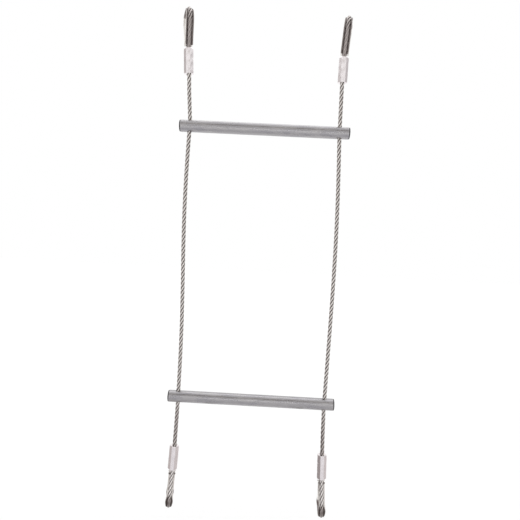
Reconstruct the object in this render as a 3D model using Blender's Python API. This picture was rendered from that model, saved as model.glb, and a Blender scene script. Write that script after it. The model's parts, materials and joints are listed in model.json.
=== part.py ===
"""Wire ladder section: two tube rungs on two wire ropes, with a thimble eye at each of the four
rope ends. It hangs by its two top eyes. Metres, +Z up, +X to the right, front towards -Y.
The origin is the hanging point: on the centre line, level with the seats of the top thimbles."""

import math

import bmesh
import bpy
import numpy as np
from mathutils import Vector

# Driving dimensions: the rungs
rung_pitch = 0.275
rung_length = 0.168
rung_diameter = 0.012
rung_wall = 0.0015
rung_edge_round = 0.0004

# The wire ropes
rope_inset = 0.009
wire_diameter = 0.004
tail_length = 0.045
folded_spacing = 0.044
fold_count = 4
sway_reach = 0.028

# End plugs and the wedges behind them
plug_rim_diameter = 0.0114
plug_edge_height = 0.0004
plug_crown_height = 0.0009
plug_land_diameter = 0.005
plug_stem_length = 0.003
wedge_overlap = 0.0008

# Ferrules
ferrule_diameter = 0.010
ferrule_length = 0.025
ferrule_edge_round = 0.0007
dead_end_recess = 0.001

# Eyes and thimbles
eye_length = 0.040
eye_width = 0.0234
eye_flare_deg = 12.0
eye_leg_pull = 0.009
thimble_wall = 0.0009
thimble_width = 0.0074
thimble_flange = 0.0008
thimble_ear_gap = 0.003

# Gap between pieces that touch on the real ladder
clearance = 0.0003

# How the ropes have set: outward bow of each bay wire, as its half wave and its full wave
bay_bow = {"left": (0.0008, 0.0011), "right": (0.0025, 0.0003)}

# What each tail has over tail_length, then in degrees the outward lean of tail, ferrule and
# eye, and the eye's turn about the upright
corner_set = {
    "top_left": (0.0, 4.0, 2.8, 2.6, 17.5),
    "top_right": (-0.0020, -0.3, 0.8, 4.7, -8.0),
    "bottom_left": (0.0003, 1.7, 2.8, 3.4, 8.5),
    "bottom_right": (0.0013, 1.1, 1.6, 2.4, -1.5),
}

# Facets
wire_bevel_resolution = 3
tube_sides = 32
turned_sides = 24
groove_steps = 6
arch_steps = 14
leg_steps = 4

# Sizes that follow from the ones above
wire_spacing = rung_length - 2 * rope_inset
wire_radius = wire_diameter / 2
rung_radius = rung_diameter / 2
rung_bore_radius = rung_radius - rung_wall
fit_radius = wire_radius + clearance
leg_offset = wire_radius + clearance / 2
arch_radius = eye_width / 2 - wire_radius
arch_height = eye_length - wire_radius - arch_radius
thimble_back = fit_radius + thimble_wall
seat_height = arch_height + arch_radius - thimble_back
bend_offset = rung_radius + wire_radius + clearance
sway_offset = rung_radius + sway_reach
fold_turns = [math.pi * (k + 1) / fold_count for k in range(fold_count - 1)]
fold_step = folded_spacing / sum(math.sin(turn) for turn in fold_turns)
upper_rung_z = -(rung_radius + tail_length + ferrule_length + seat_height)
lower_rung_z = upper_rung_z - rung_pitch
middle_z = upper_rung_z - rung_pitch / 2
fold_heights = [middle_z + fold_step * ((fold_count - 1) / 2 - k) for k in range(fold_count)]
sides = {"left": -1, "right": 1}


def clear_scene():
    for obj in list(bpy.data.objects):
        bpy.data.objects.remove(obj, do_unlink=True)


def make_material(name, color, metallic, roughness):
    material = bpy.data.materials.new(name)
    material.use_nodes = True
    shader = material.node_tree.nodes["Principled BSDF"]
    shader.inputs["Base Color"].default_value = (*color, 1.0)
    shader.inputs["Metallic"].default_value = metallic
    shader.inputs["Roughness"].default_value = roughness
    return material


def link(name, data, material):
    obj = bpy.data.objects.new(name, data)
    bpy.context.collection.objects.link(obj)
    data.materials.append(material)
    return obj


def make_pivot(name, place, parent=None):
    """An empty on a joint's axis. Whatever hangs on that joint is parented to it."""
    pivot = bpy.data.objects.new(name, None)
    pivot.empty_display_size = 0.01
    pivot["place"] = list(place)
    bpy.context.collection.objects.link(pivot)
    pivot.location = place
    if parent is not None:
        pivot.location = Vector(place) - Vector(parent["place"])
        pivot.parent = parent
    return pivot


def hang(obj, pivot):
    """Move the object's origin to the pivot, with its surface left where it is."""
    obj.parent = pivot
    offset = Vector(pivot["place"])
    if obj.type == "CURVE":
        for spline in obj.data.splines:
            for point in spline.points:
                point.co = (*(Vector(point.co[:3]) - offset), 1.0)
        return
    for vertex in obj.data.vertices:
        vertex.co -= offset


def finish_mesh(bm, name):
    bmesh.ops.remove_doubles(bm, verts=bm.verts, dist=1e-7)
    bmesh.ops.recalc_face_normals(bm, faces=bm.faces)
    mesh = bpy.data.meshes.new(name)
    bm.to_mesh(mesh)
    bm.free()
    mesh.shade_smooth()
    mesh.set_sharp_from_angle(angle=math.radians(35))
    return mesh


def add_rings(bm, rings, loop=False):
    """Quads between neighbouring rings of points. With loop, the last ring joins the first;
    otherwise the two ends are left open. Returns the rings' vertices."""
    made = [[bm.verts.new(p) for p in ring] for ring in rings]
    pairs = list(zip(made, made[1:]))
    if loop:
        pairs.append((made[-1], made[0]))
    for a, b in pairs:
        count = len(a)
        for k in range(count):
            n = (k + 1) % count
            bm.faces.new((a[k], a[n], b[n], b[k]))
    return made


def turned(name, profile, centre, axis, count=turned_sides):
    """A solid turned about axis through centre, from a profile of (distance along, radius)."""
    axis = np.array(axis, float)
    across = np.array((0.0, 1.0, 0.0))
    third = np.cross(axis, across)
    angles = 2 * math.pi * (np.arange(count) + 0.5) / count
    rings = []
    for along, radius in profile:
        spoke = np.outer(np.cos(angles), across) + np.outer(np.sin(angles), third)
        rings.append(np.array(centre) + axis * along + radius * spoke)
    bm = bmesh.new()
    made = add_rings(bm, rings)
    bm.faces.new(made[0])
    bm.faces.new(made[-1])
    return finish_mesh(bm, name)


def add_cutter(name, radius, length, centre, axis, material):
    """A round cutter, hidden in renders, centred on centre along axis."""
    profile = [(-length / 2, radius), (length / 2, radius)]
    cutter = link(name, turned(name, profile, centre, axis), material)
    cutter.hide_render = True
    cutter.display_type = "WIRE"
    return cutter


def cut(obj, cutter):
    modifier = obj.modifiers.new("cut_" + cutter.name, "BOOLEAN")
    modifier.operation = "DIFFERENCE"
    modifier.solver = "EXACT"
    modifier.object = cutter


def make_rung(level, height, materials, pivot):
    """A round tube with a cross hole for each wire, an end plug and a wire wedge in each end."""
    half = rung_length / 2
    inner = half - rung_edge_round
    outline = [
        (-half, rung_bore_radius),
        (-half, rung_radius - rung_edge_round),
        (-inner, rung_radius),
        (inner, rung_radius),
        (half, rung_radius - rung_edge_round),
        (half, rung_bore_radius),
    ]
    angles = 2 * math.pi * (np.arange(tube_sides) + 0.5) / tube_sides
    rings = [
        np.column_stack([
            np.full(tube_sides, along),
            radius * np.cos(angles),
            height + radius * np.sin(angles),
        ])
        for along, radius in outline
    ]
    bm = bmesh.new()
    add_rings(bm, rings, loop=True)
    name = f"{level}_rung_tube"
    tube = link(name, finish_mesh(bm, name), materials["rung"])
    hang(tube, pivot)
    for side, sign in sides.items():
        hole_x = sign * wire_spacing / 2
        hole = add_cutter(
            f"cutter_{level}_{side}_hole",
            fit_radius,
            rung_diameter * 2,
            (hole_x, 0, height),
            (0, 0, 1),
            materials["wedge"],
        )
        cut(tube, hole)
        make_plug(f"{level}_{side}_end_plug", sign, height, materials["plug"], pivot)
        make_wedge(f"{level}_{side}_wire_wedge", sign, height, hole, materials["wedge"], pivot)
        ends = [(hole_x, 0, height - rung_radius), (hole_x, 0, height + rung_radius)]
        make_wire(f"{level}_{side}_rung_wire", ends, materials["wire"], pivot)


def make_plug(name, sign, height, material, pivot):
    """A domed plug whose stem fills the tube's bore. Its head ends in a small flat land."""
    rim = plug_rim_diameter / 2
    land = plug_land_diameter / 2
    stem = rung_bore_radius - clearance
    rise = plug_crown_height - plug_edge_height
    profile = [(-plug_stem_length, stem), (0, stem), (0, rim), (plug_edge_height, rim)]
    dome_steps = 4
    for k in range(1, dome_steps + 1):
        turn = math.pi / 2 * k / dome_steps
        radius = land + (rim - land) * math.cos(turn)
        profile.append((plug_edge_height + rise * math.sin(turn), radius))
    seat = sign * (rung_length / 2 + clearance)
    mesh = turned(name, profile, (seat, 0, height), (sign, 0, 0))
    hang(link(name, mesh, material), pivot)


def make_wedge(name, sign, height, hole, material, pivot):
    """A slug in the bore, cupped to the wire's side, that locks the wire behind the plug."""
    start = wire_spacing / 2 + wedge_overlap
    end = rung_length / 2 - plug_stem_length
    radius = rung_bore_radius - clearance
    profile = [(0, radius), (end - start, radius)]
    mesh = turned(name, profile, (sign * start, 0, height), (sign, 0, 0))
    wedge = link(name, mesh, material)
    hang(wedge, pivot)
    cut(wedge, hole)


def unit(vector):
    vector = np.array(vector, float)
    return vector / np.linalg.norm(vector)


def round_end(points):
    """Points and radius shares that lead into the path's first point as half a ball."""
    points = [np.array(p, float) for p in points]
    out = unit(points[0] - points[1])
    turns = np.radians([18, 42, 66])
    tips = [points[0] + out * wire_radius * math.cos(t) for t in turns]
    return tips + points, [math.sin(t) for t in turns] + [1.0] * len(points)


def make_wire(name, points, material, pivot, ball_start=False, ball_end=False):
    """A stretch of wire rope as a plain round bar. A ball end turns against its neighbour."""
    points = [np.array(p, float) for p in points]
    shares = [1.0] * len(points)
    if ball_start:
        points, shares = round_end(points)
    if ball_end:
        tail, tail_shares = round_end(points[::-1])
        shares = shares + tail_shares[:3][::-1]
        points = tail[::-1]
    curve = bpy.data.curves.new(name, "CURVE")
    curve.dimensions = "3D"
    curve.bevel_depth = wire_radius
    curve.bevel_resolution = wire_bevel_resolution
    curve.use_fill_caps = True
    spline = curve.splines.new("POLY")
    spline.points.add(len(points) - 1)
    for point, place, share in zip(spline.points, points, shares):
        point.co = (*place, 1.0)
        point.radius = share
    hang(link(name, curve, material), pivot)


def bay_point(side, z):
    """A point of a bay wire. It bows outwards between the rungs as the rope has set."""
    half_wave, full_wave = bay_bow[side]
    turn = math.pi * (upper_rung_z - z) / rung_pitch
    bow = half_wave * math.sin(turn) + full_wave * math.sin(2 * turn)
    return np.array((sides[side] * (wire_spacing / 2 + bow), 0.0, z))


def make_bay(material, pivots):
    """Both bay wires. Each is cut where the bay bends: every stretch hangs on the pivot at its
    top end and stops short of the next pivot, but the last one also turns in the lower rung."""
    names = ["upper"] + [f"bight_{k}" for k in range(1, fold_count)] + ["lower"]
    tops = [upper_rung_z - bend_offset] + fold_heights
    stops = [height + wire_radius + clearance for height in fold_heights]
    stops.append(lower_rung_z + bend_offset)
    for side in sides:
        for name, pivot, top, stop in zip(names, pivots, tops, stops):
            count = max(3, round((top - stop) / (3 * wire_diameter)) + 1)
            points = [bay_point(side, z) for z in np.linspace(top, stop, count)]
            turns_below = name == "lower"
            make_wire(f"{side}_bay_{name}_wire", points, material, pivot, True, turns_below)


class Corner:
    """Where one rope end leaves its rung, and the frames of its ferrule and its eye."""

    def __init__(self, name):
        level, side = name.split("_")
        self.name = name
        self.out = sides[side]
        self.up = 1 if level == "top" else -1
        rung_z = upper_rung_z if level == "top" else lower_rung_z
        self.hole = np.array((self.out * wire_spacing / 2, 0.0, rung_z))
        extra, *angles = corner_set[name]
        tail, ferrule, eye, turn = np.radians(angles)
        self.tail_end = rung_radius + tail_length + extra
        self.slope = math.tan(tail)
        self.flat = np.array((-math.sin(turn), math.cos(turn), 0.0))
        self.ferrule_axis = self.lean(ferrule)
        self.eye_axis = self.lean(eye)
        self.ferrule_start = self.tail_point(self.tail_end)
        self.eye_start = self.ferrule_start + self.ferrule_axis * ferrule_length

    def lean(self, angle):
        return np.array((self.out * math.sin(angle), 0.0, self.up * math.cos(angle)))

    def across(self, axis):
        """The eye's width direction, square to axis."""
        return unit(self.flat - axis * (self.flat @ axis))

    def tail_point(self, distance, shift=0.0):
        """A point of the tail, distance from the rung's axis, shifted along the eye's width."""
        outwards = self.slope * (distance - rung_radius)
        return self.hole + (self.out * outwards, 0, self.up * distance) + self.flat * shift

    def in_ferrule(self, along, shift):
        axis = self.ferrule_axis
        return self.ferrule_start + axis * along + self.across(axis) * shift

    def in_eye(self, width, along):
        axis = self.eye_axis
        return self.eye_start + self.across(axis) * width + axis * along


def eye_leg():
    """The leg's centreline from the ferrule to the arch, as (half width, height) points of a
    cubic curve that starts along the ferrule and ends along the arch."""
    flare = math.radians(eye_flare_deg)
    start = np.array((leg_offset, 0.0))
    end = np.array((
        arch_radius * math.cos(flare),
        arch_height - arch_radius * math.sin(flare),
    ))
    first = start + np.array((0.0, eye_leg_pull))
    second = end - eye_leg_pull * np.array((math.sin(flare), math.cos(flare)))
    t = np.linspace(0, 1, 81)[:, None]
    rest = 1 - t
    return rest**3 * start + 3 * rest**2 * t * first + 3 * rest * t**2 * second + t**3 * end


def eye_arch():
    """The arch's centreline and its outward normals, from one leg over the crown to the other."""
    flare = math.radians(eye_flare_deg)
    turns = np.linspace(-flare, math.pi + flare, arch_steps + 1)
    normals = np.column_stack([np.cos(turns), np.sin(turns)])
    return np.array((0.0, arch_height)) + arch_radius * normals, normals


def make_terminal_rope(corner, material, pivot):
    """The rope end: the tail, its live leg through the ferrule, round the eye, and the dead leg
    back into the ferrule."""
    start = sway_offset
    end = corner.tail_end
    steps = max(3, round((end - start) / (1.5 * wire_diameter)))
    points = []
    for share in np.linspace(0, 1, steps + 1)[:-1]:
        ease = share * share * (3 - 2 * share)
        points.append(corner.tail_point(start + (end - start) * share, -leg_offset * ease))
    points += [corner.in_ferrule(a, -leg_offset) for a in np.linspace(0, ferrule_length, 4)[:-1]]
    leg = eye_leg()
    picks = np.linspace(0, len(leg) - 1, leg_steps + 1).astype(int)
    points += [corner.in_eye(-w, h) for w, h in leg[picks[:-1]]]
    arch, _ = eye_arch()
    points += [corner.in_eye(-w, h) for w, h in arch]
    points += [corner.in_eye(w, h) for w, h in leg[picks[:-1][::-1]]]
    back = np.linspace(ferrule_length, dead_end_recess, 4)[1:]
    points += [corner.in_ferrule(a, leg_offset) for a in back]
    make_wire(f"{corner.name}_eye_wire", points, material, pivot, ball_start=True)


def thimble_section():
    """The channel's section as inner and outer points of (depth towards the opening, width),
    from one flange edge round the groove to the other, and each point's share of the depth."""
    turns = np.linspace(-math.pi / 2, math.pi / 2, groove_steps + 1)
    flange_out = thimble_width / 2
    inner = np.column_stack([np.cos(turns), np.sin(turns)]) * fit_radius
    outer = np.column_stack([np.cos(turns), np.sin(turns)]) * thimble_back
    edge = np.array((-thimble_flange, flange_out))
    rim = np.array((-thimble_flange, flange_out - thimble_wall))
    mirror = np.array((1, -1))
    inner = np.vstack([rim * mirror, inner, rim])
    outer = np.vstack([edge * mirror, outer, edge])
    return inner, outer, np.concatenate([[0], np.cos(turns), [0]])


def make_thimble(corner, material, pivot):
    """A grooved teardrop. Each flank runs on past the groove's floor, which stops where the two
    legs would meet, so that the flanks end as ears beside the rope."""
    leg = eye_leg()
    heights = leg[:, 1]
    inner, outer, depth_share = thimble_section()
    reach = thimble_back * depth_share + clearance / 2
    first = np.interp(reach, leg[:, 0], heights)
    first = np.maximum(first, thimble_ear_gap)
    slope = np.gradient(leg, axis=0)
    slope /= np.linalg.norm(slope, axis=1)[:, None]
    arch, arch_normals = eye_arch()
    rings = []
    shares = np.linspace(0, 1, leg_steps + 1)[:-1]

    def ring(centres, normals):
        """One section: its points set from centres along -normals and across the width."""
        eye_across = corner.across(corner.eye_axis)
        side = np.cross(eye_across, corner.eye_axis)
        walls = []
        for wall in (inner, outer):
            flat = centres - normals * wall[:, :1]
            place = [corner.in_eye(w, h) for w, h in flat]
            walls.append(np.array(place) + np.outer(wall[:, 1], side))
        return np.vstack([walls[0], walls[1][::-1]])

    def leg_ring(share, mirror):
        at = first + (heights[-1] - first) * share
        centres = np.column_stack([np.interp(at, heights, leg[:, 0]), at])
        along = np.column_stack([np.interp(at, heights, slope[:, k]) for k in (0, 1)])
        normals = np.column_stack([along[:, 1], -along[:, 0]])
        return ring(centres * mirror, normals * mirror)

    near = np.array((-1, 1))
    rings += [leg_ring(share, near) for share in shares]
    count = len(inner)
    for centre, normal in zip(arch, arch_normals):
        rings.append(ring(np.tile(centre * near, (count, 1)), np.tile(normal * near, (count, 1))))
    rings += [leg_ring(share, np.array((1, 1))) for share in shares[::-1]]
    bm = bmesh.new()
    made = add_rings(bm, rings)
    for verts in (made[0], made[-1]):
        for k in range(count - 1):
            bm.faces.new((verts[k], verts[k + 1], verts[-k - 2], verts[-k - 1]))
    name = f"{corner.name}_thimble"
    hang(link(name, finish_mesh(bm, name), material), pivot)


def make_ferrule(corner, material, pivot):
    """A swaged sleeve: round outside, with one long slot through it for the rope's two legs."""
    angles = 2 * math.pi * (np.arange(tube_sides) + 0.5) / tube_sides
    circle = np.column_stack([np.cos(angles), np.sin(angles)])
    slot = circle * fit_radius
    slot[:, 0] += np.sign(circle[:, 0]) * leg_offset
    radius = ferrule_diameter / 2
    axis = corner.ferrule_axis
    across = corner.across(axis)
    side = np.cross(across, axis)

    def ring(along, shape):
        centre = corner.ferrule_start + axis * along
        return centre + np.outer(shape[:, 0], across) + np.outer(shape[:, 1], side)

    inset = ferrule_edge_round
    rings = [
        ring(0, slot),
        ring(0, circle * (radius - inset)),
        ring(inset * 0.3, circle * (radius - inset * 0.3)),
        ring(inset, circle * radius),
        ring(ferrule_length - inset, circle * radius),
        ring(ferrule_length - inset * 0.3, circle * (radius - inset * 0.3)),
        ring(ferrule_length, circle * (radius - inset)),
        ring(ferrule_length, slot),
    ]
    bm = bmesh.new()
    add_rings(bm, rings, loop=True)
    name = f"{corner.name}_ferrule"
    hang(link(name, finish_mesh(bm, name), material), pivot)


def make_corner(name, materials, rung_pivot):
    """One rope end: a short tail that folds at the rung, and beyond it the swaying terminal."""
    corner = Corner(name)
    fold = make_pivot(f"pivot_{name}_fold", corner.tail_point(bend_offset), rung_pivot)
    sway = make_pivot(f"pivot_{name}_sway", corner.tail_point(sway_offset), fold)
    stop = sway_offset - (wire_radius + clearance)
    points = [corner.tail_point(d) for d in np.linspace(bend_offset, stop, 3)]
    make_wire(f"{name}_tail_wire", points, materials["wire"], fold, ball_start=True)
    make_terminal_rope(corner, materials["wire"], sway)
    make_ferrule(corner, materials["ferrule"], sway)
    make_thimble(corner, materials["thimble"], sway)


def main():
    clear_scene()
    materials = {
        "rung": make_material("drawn_aluminium", (0.42, 0.41, 0.42), 1.0, 0.38),
        "plug": make_material("dark_resin", (0.05, 0.045, 0.045), 0.0, 0.55),
        "wedge": make_material("plain_steel", (0.35, 0.34, 0.33), 1.0, 0.45),
        "wire": make_material("galvanised_wire", (0.40, 0.38, 0.38), 1.0, 0.42),
        "ferrule": make_material("swaged_alloy", (0.75, 0.71, 0.71), 1.0, 0.35),
        "thimble": make_material("dark_zinc", (0.12, 0.10, 0.10), 1.0, 0.40),
    }
    upper = make_pivot("pivot_upper_rung", (0, 0, upper_rung_z))
    bay = [make_pivot("pivot_bay_swing", (0, 0, upper_rung_z - bend_offset), upper)]
    for k, height in enumerate(fold_heights):
        bay.append(make_pivot(f"pivot_bay_fold_{k + 1}", (0, 0, height), bay[-1]))
    lower = make_pivot("pivot_lower_rung_swing", (0, 0, lower_rung_z + bend_offset), bay[-1])
    make_rung("upper", upper_rung_z, materials, upper)
    make_bay(materials["wire"], bay)
    make_rung("lower", lower_rung_z, materials, lower)
    for name in corner_set:
        make_corner(name, materials, upper if name.startswith("top") else lower)


main()
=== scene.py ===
import json
import math

import bpy
import numpy as np
from mathutils import Matrix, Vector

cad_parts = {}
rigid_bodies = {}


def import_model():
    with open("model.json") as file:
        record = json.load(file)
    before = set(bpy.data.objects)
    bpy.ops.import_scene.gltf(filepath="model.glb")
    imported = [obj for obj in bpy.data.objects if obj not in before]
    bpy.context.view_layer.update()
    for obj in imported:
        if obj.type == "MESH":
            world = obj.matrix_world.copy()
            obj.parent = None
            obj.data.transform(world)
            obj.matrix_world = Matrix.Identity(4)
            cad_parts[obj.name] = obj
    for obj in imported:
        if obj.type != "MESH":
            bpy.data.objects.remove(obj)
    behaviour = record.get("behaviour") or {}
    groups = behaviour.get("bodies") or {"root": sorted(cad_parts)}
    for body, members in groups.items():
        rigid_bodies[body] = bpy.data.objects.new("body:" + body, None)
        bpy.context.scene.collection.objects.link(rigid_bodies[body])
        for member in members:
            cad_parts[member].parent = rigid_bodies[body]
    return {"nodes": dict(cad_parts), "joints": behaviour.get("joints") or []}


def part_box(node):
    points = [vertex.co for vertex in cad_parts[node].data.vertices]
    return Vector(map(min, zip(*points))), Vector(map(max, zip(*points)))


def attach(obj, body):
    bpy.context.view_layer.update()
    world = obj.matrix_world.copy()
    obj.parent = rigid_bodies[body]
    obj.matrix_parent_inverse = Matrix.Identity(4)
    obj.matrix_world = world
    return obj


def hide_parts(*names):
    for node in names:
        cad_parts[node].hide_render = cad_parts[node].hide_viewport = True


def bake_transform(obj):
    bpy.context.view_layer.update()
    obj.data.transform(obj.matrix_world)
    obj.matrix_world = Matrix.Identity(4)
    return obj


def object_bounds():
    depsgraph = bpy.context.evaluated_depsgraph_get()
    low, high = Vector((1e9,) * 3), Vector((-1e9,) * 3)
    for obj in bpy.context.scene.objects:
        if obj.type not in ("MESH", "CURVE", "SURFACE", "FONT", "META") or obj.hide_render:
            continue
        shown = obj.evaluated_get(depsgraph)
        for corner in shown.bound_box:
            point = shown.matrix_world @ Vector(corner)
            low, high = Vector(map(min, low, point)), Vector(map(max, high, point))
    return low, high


for leftover in list(bpy.data.objects):
    bpy.data.objects.remove(leftover)

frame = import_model()
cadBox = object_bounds()

sideSign = {"left": -1, "right": 1}
levelSign = {"top": 1, "bottom": -1}
rungOf = {"top": "upper", "bottom": "lower"}


def halfway(low, high):
    # the middle of a box from its lowest and highest corner
    return np.array((low + high) / 2)


rungHeight = {level: halfway(*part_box(f"{rungOf[level]}_rung_tube"))[2] for level in levelSign}

# The camera, at the photograph's viewing angle
cameraSetup = {
    "place": (0.0095, -0.4856, -0.2197),
    "turnDeg": 0.87,  # to the left
    "tiltDeg": -2.57,  # downwards
    "rollDeg": -2.90,
    "imageWidth": 520,
    "focalPixels": 480,
    "sensor": 36.0,  # mm
}


def addCamera():
    # turned about the upright first, then tilted from level, then rolled about its own line
    data = bpy.data.cameras.new("camera")
    data.sensor_width = cameraSetup["sensor"]
    data.lens = cameraSetup["sensor"] * cameraSetup["focalPixels"] / cameraSetup["imageWidth"]
    data.clip_start = 0.01
    camera = bpy.data.objects.new("camera", data)
    bpy.context.scene.collection.objects.link(camera)
    turn = Matrix.Rotation(math.radians(cameraSetup["turnDeg"]), 4, "Z")
    tilt = Matrix.Rotation(math.radians(90 + cameraSetup["tiltDeg"]), 4, "X")
    roll = Matrix.Rotation(math.radians(-cameraSetup["rollDeg"]), 4, "Z")
    camera.matrix_world = Matrix.Translation(cameraSetup["place"]) @ turn @ tilt @ roll
    bpy.context.scene.camera = camera


addCamera()
print("camera placed")


# Small tools for colours, nodes and surfaces
def linearColour(hexCode):
    # each sRGB channel c turned to linear: c / 12.92 up to 0.04045, and past it
    # ((c + 0.055) / 1.055) ^ 2.4
    channels = np.array([int(hexCode[k:k + 2], 16) for k in (1, 3, 5)]) / 255
    curved = ((channels + 0.055) / 1.055) ** 2.4
    return (*np.where(channels <= 0.04045, channels / 12.92, curved), 1.0)


def feedSockets(tree, node, sockets):
    # each socket gets another node's output, a hex colour or a plain value
    for key, source in sockets.items():
        if isinstance(source, bpy.types.NodeSocket):
            tree.links.new(source, node.inputs[key])
        elif isinstance(source, str):
            node.inputs[key].default_value = linearColour(source)
        else:
            node.inputs[key].default_value = source


def addNode(tree, kind, sockets=None, settings=None, output=0):
    # one shader node with its settings and what its sockets get. Returns one of its outputs
    node = tree.nodes.new("ShaderNode" + kind)
    for key, value in (settings or {}).items():
        setattr(node, key, value)
    feedSockets(tree, node, sockets or {})
    return node.outputs[output] if node.outputs else node


def emptyTree(owner):
    # the node tree of a material or a world, with nothing in it
    owner.use_nodes = True
    owner.node_tree.nodes.clear()
    return owner.node_tree


def dressed(name, metallic, look):
    # a Principled material, whose look gives its colour, the spread of its roughness and
    # mostly its relief
    material = bpy.data.materials.new(name)
    material.use_nodes = True
    tree = material.node_tree
    colour, roughness, *relief = look(tree)
    sockets = {
        "Metallic": metallic,
        "Base Color": colour,
        "Roughness": addNode(tree, "MapRange", roughness),
    }
    if relief:
        sockets["Normal"] = addNode(tree, "Bump", relief[0])
    feedSockets(tree, tree.nodes["Principled BSDF"], sockets)
    return material


def spread(source, low, high, fromLow=0.35, fromHigh=0.65):
    # what a Map Range needs to turn fromLow..fromHigh, or noise's usual values, into low..high
    return {
        "Value": source, "From Min": fromLow, "From Max": fromHigh, "To Min": low, "To Max": high,
    }


def lumps(tree, sizeMm, stretch=(1, 1, 1), detail=3.0, roughness=0.5):
    # noise fixed to the piece, with lumps about sizeMm across, longer where stretch is over 1
    place = addNode(tree, "TexCoord", output="Object")
    scale = tuple(1 / share for share in stretch)
    mapped = addNode(tree, "Mapping", {"Vector": place, "Scale": scale})
    grain = {"Vector": mapped, "Scale": 1000 / sizeMm, "Detail": detail, "Roughness": roughness}
    return addNode(tree, "TexNoise", grain)


def tinted(tree, source, first, second, low=0.35, high=0.65):
    # the first colour where the source is low, the second where it is high, mixed between.
    # Each is a hex code or another node's output
    share = addNode(tree, "MapRange", spread(source, 0, 1, low, high))
    return addNode(tree, "Mix", {0: share, 6: first, 7: second}, {"data_type": "RGBA"}, 2)


def easeIn(value, start, reach):
    # 0 up to the start, 1 past its reach, and 3 s^2 - 2 s^3 of the share s between
    share = np.clip((value - start) / reach, 0, 1)
    return share * share * (3 - 2 * share)


def unitRows(rows):
    # each row divided by its length
    return rows / np.linalg.norm(rows, axis=-1, keepdims=True)


def gridQuads(rows, columns, closeRows=False, closeColumns=True):
    # quads of a grid of points, row by row; closing joins the last row or column to the first
    row = np.arange(rows if closeRows else rows - 1)[:, None]
    column = np.arange(columns if closeColumns else columns - 1)
    nextRow = (row + 1) % rows
    nextColumn = (column + 1) % columns
    corners = [
        row * columns + column,
        row * columns + nextColumn,
        nextRow * columns + nextColumn,
        nextRow * columns + column,
    ]
    return np.stack(corners, axis=-1).reshape(-1, 4)


def endFans(rows, columns):
    # triangles from the grid's first and last row to the two points that follow the grid
    column = np.arange(columns)
    nextColumn = (column + 1) % columns
    last = (rows - 1) * columns
    middle = np.full(columns, rows * columns)
    return np.vstack([
        np.column_stack([middle, nextColumn, column]),
        np.column_stack([middle + 1, last + column, last + nextColumn]),
    ])


def makePiece(name, points, faces, material, sharpDeg=40, cornerUv=None):
    # a mesh from an array of points and a list of face arrays, smooth up to sharpDeg
    mesh = bpy.data.meshes.new(name)
    points = np.asarray(points, np.float32).reshape(-1, 3)
    corners = np.concatenate([block.ravel() for block in faces])
    sizes = np.concatenate([np.full(len(block), block.shape[1]) for block in faces])
    mesh.vertices.add(len(points))
    mesh.vertices.foreach_set("co", points.ravel())
    mesh.loops.add(len(corners))
    mesh.loops.foreach_set("vertex_index", corners.astype(np.int32))
    mesh.polygons.add(len(sizes))
    mesh.polygons.foreach_set("loop_start", (np.cumsum(sizes) - sizes).astype(np.int32))
    mesh.update(calc_edges=True)
    if cornerUv is not None:
        layer = mesh.uv_layers.new(name="lay")
        flat = np.zeros((len(corners), 2), np.float32)
        flat[:len(cornerUv)] = cornerUv
        layer.data.foreach_set("uv", flat.ravel())
    mesh.shade_smooth()
    mesh.set_sharp_from_angle(angle=math.radians(sharpDeg))
    mesh.materials.append(material)
    piece = bpy.data.objects.new(name, mesh)
    bpy.context.scene.collection.objects.link(piece)
    return piece


# The route of the ropes and the eyes' form, as the solids have them
ropeRoute = {
    "spacing": 0.15,  # between the ropes at the rungs
    "bow": {"left": (0.0008, 0.0011), "right": (0.0025, 0.0003)},  # outwards: half wave, full wave
    "rungRadius": 0.006,
    "tail": 0.045,  # from the rung's wall to the ferrule
    "driftFrom": 0.034,  # from the rung's axis: past it the tail eases to its side of the ferrule
    "legOffset": 0.00215,  # of each leg from the ferrule's axis
    "deadEndRecess": 0.001,
    "tailStep": 0.0005,
    "driftPoints": 40,
    "ferrulePoints": 50,
    "bayPoints": 560,
}
eyeForm = {
    "length": 0.040,  # from the ferrule to the tip
    "width": 0.0234,
    "flareDeg": 12.0,
    "legPull": 0.009,
    "ferruleLength": 0.025,
    # painted shade and painted light along the eyes, as steps: how far past the ferrule each one
    # starts, how far it takes to come in, and how much it adds. -1 is painted light, 0 is as the
    # rest of the rope, 1 is painted shade and 2 is dark painted shade. The top eyes get it on
    # their legs and tips, the bottom eyes on their crowns and a little on the rope above them, and
    # the bottom eyes' legs get painted light
    "stainSteps": {
        "top": ((-0.002, 0.001, 1.5), (0.024, 0.005, -0.7), (0.0345, 0.003, 1.2)),
        "bottom": (
            (-0.075, 0.02, 0.6), (-0.002, 0.001, -1.6), (0.0215, 0.005, 2), (0.0255, 0.005, 1),
        ),
    },
}
# each tail's extra length, then the outward lean of tail, ferrule and eye and the eye's turn
cornerSet = {
    "top_left": (0.0, 4.0, 2.8, 2.6, 17.5),
    "top_right": (-0.0020, -0.3, 0.8, 4.7, -8.0),
    "bottom_left": (0.0003, 1.7, 2.8, 3.4, 8.5),
    "bottom_right": (0.0013, 1.1, 1.6, 2.4, -1.5),
}
rope = {
    "diameter": 0.004,
    "overStrands": 0.0042,
    "pressedDepth": 0.75,  # of a round strand's valleys, as the strands squeeze each other
    "strands": 4,  # the slope of the strands in the photo and their spacing fit four
    "layLength": 0.0191,  # one full turn of a strand, right-handed
    "wireLay": 0.012,  # one full turn of a strand's wires
    "outerWires": 12,  # round each strand
    # the painted shade at which old grease starts to fill the valleys, and how much more fills
    # them
    "greaseFill": (1.0, 0.8),
    "routeStep": 0.00025,  # before the bends are softened
    "ringStep": 0.0006,
    "pointsPerStrand": 12,
    "sharpDeg": 60,
}
ropeRadius = rope["diameter"] / 2
strandReach = math.pi * (0.5 + 1 / rope["strands"])  # each strand's outside, to either side
archRadius = eyeForm["width"] / 2 - ropeRadius
archHeight = eyeForm["length"] - ropeRadius - archRadius


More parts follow.
